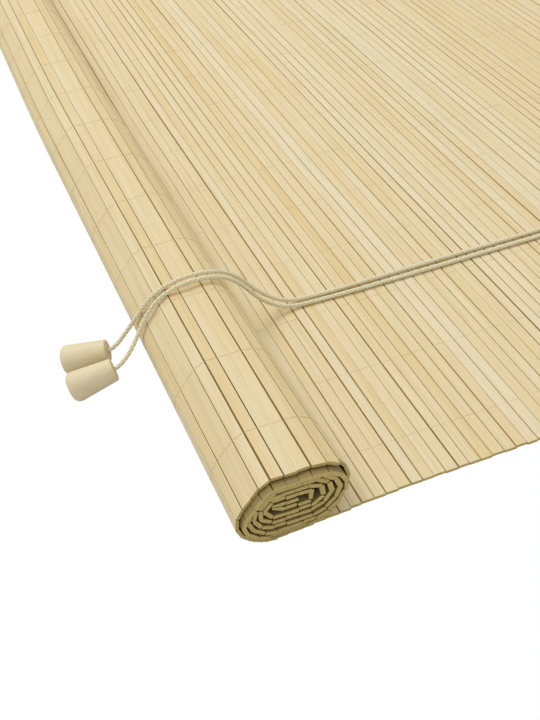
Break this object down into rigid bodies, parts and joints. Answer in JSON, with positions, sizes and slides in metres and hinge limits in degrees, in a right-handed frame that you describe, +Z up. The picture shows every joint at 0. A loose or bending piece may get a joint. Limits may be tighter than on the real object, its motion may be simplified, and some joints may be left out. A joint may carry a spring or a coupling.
{
  "type": "bamboo roll-up blind",
  "caption": "Bamboo roll-up blind lying face up with its lower end rolled, a wooden head rail with hanger plates and a cord lock, and pull cords with turned wooden tassels lying over the roll.",
  "frame": {"origin": "centre of the footprint of the mat and its head, at floor level", "axes": "+X along the drop from the roll to the head rail, +Y along the slats, +Z up from the floor"},
  "size_m": [1.0861, 0.804, 0.0456],
  "materials": {
    "bamboo": "raw split bamboo, satin",
    "rail_wood": "clear lacquer, satin",
    "zinc_screws": "zinc plated",
    "zinc_sheet": "zinc plated",
    "wheel_plastic": "matte",
    "pin_steel": "turned",
    "brass_roller": "knurled",
    "cord_cotton": "braided",
    "thread_cotton": "twisted",
    "tassel_wood": "turned, unlacquered"
  },
  "bodies": {
    "blind": {"flat_mat": "bamboo", "rolled_mat": "bamboo", "warp_thread_01": "thread_cotton", "warp_thread_02": "thread_cotton", "warp_thread_03": "thread_cotton", "warp_thread_04": "thread_cotton", "warp_thread_05": "thread_cotton", "warp_thread_06": "thread_cotton", "warp_thread_07": "thread_cotton", "warp_thread_08": "thread_cotton", "warp_thread_09": "thread_cotton", "warp_thread_10": "thread_cotton", "warp_thread_11": "thread_cotton", "warp_thread_12": "thread_cotton", "warp_thread_13": "thread_cotton", "warp_thread_14": "thread_cotton", "head_rail": "rail_wood", "clamp_strip": "rail_wood", "clamp_screws": "zinc_screws", "hanger_plate_near": "zinc_sheet", "hanger_plate_far": "zinc_sheet", "hanger_screws": "zinc_screws", "lock_frame": "zinc_sheet", "lock_wheel_pin": "pin_steel", "lock_screws": "zinc_screws", "guide_frame": "zinc_sheet", "guide_wheel_pin": "pin_steel", "guide_screws": "zinc_screws", "pull_cord_near": "cord_cotton", "pull_cord_far": "cord_cotton", "tassel_near": "tassel_wood", "tassel_far": "tassel_wood"},
    "lock_wheel": {"lock_wheel": "wheel_plastic"},
    "lock_roller": {"lock_roller": "brass_roller"},
    "guide_wheel": {"guide_wheel": "wheel_plastic"}
  },
  "joints": [
    {"name": "lock_wheel_spin", "type": "hinge", "parent": "blind", "child": "lock_wheel", "pos_m": [0.49085, -0.246, 0.02375], "axis": [0, 1, 0], "continuous": true},
    {"name": "guide_wheel_spin", "type": "hinge", "parent": "blind", "child": "guide_wheel", "pos_m": [0.49085, 0.246, 0.02375], "axis": [0, 1, 0], "continuous": true},
    {"name": "lock_roller_slide", "type": "slide", "parent": "blind", "child": "lock_roller", "axis": [-0.866, 0, 0.5], "range_m": [0, 0.003]}
  ]
}
